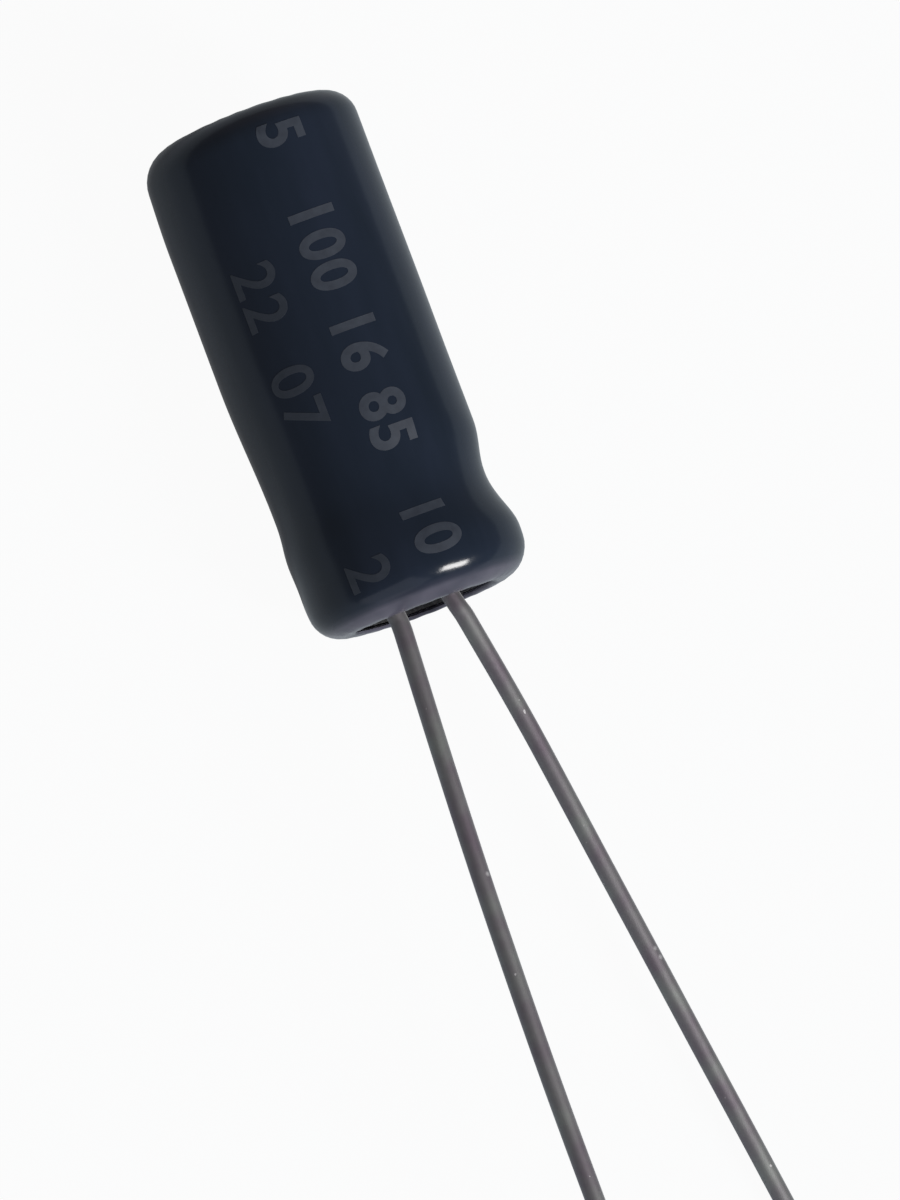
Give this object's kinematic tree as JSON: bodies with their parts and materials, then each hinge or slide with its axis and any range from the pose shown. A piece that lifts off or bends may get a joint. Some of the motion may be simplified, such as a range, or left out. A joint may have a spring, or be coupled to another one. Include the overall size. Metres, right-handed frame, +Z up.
{
  "type": "electrolytic capacitor",
  "caption": "Small radial electrolytic capacitor: a film-sleeved aluminium can with a rubber bung, a foil winding inside, and splayed tinned wire leads.",
  "frame": {"origin": "middle of the footprint on the surface that the capacitor lies on, which is the bottom of its box", "axes": "+Y along the can's axis from the leads to the head, +Z up, +X to the side that the splayed cathode lead points to"},
  "size_m": [0.0066, 0.033, 0.0053],
  "materials": {
    "shrink_film": "glossy navy-black shrunk film",
    "drawn_aluminium": "drawn, satin",
    "butyl_rubber": "moulded, matt black",
    "tinned_wire": "matt tin plate, dulled",
    "tab_aluminium": "pressed, satin",
    "etched_foil": "etched, matt grey",
    "plain_foil": "rolled, satin",
    "separator_paper": "soaked kraft paper",
    "tape_film": "amber film"
  },
  "bodies": {
    "root": {"sleeve": "shrink_film", "can": "drawn_aluminium", "bung": "butyl_rubber", "anode_lead": "tinned_wire", "cathode_lead": "tinned_wire", "anode_tab": "tab_aluminium", "cathode_tab": "tab_aluminium", "anode_foil": "etched_foil", "cathode_foil": "plain_foil", "inner_paper": "separator_paper", "outer_paper": "separator_paper", "fixing_tape": "tape_film"}
  },
  "joints": []
}
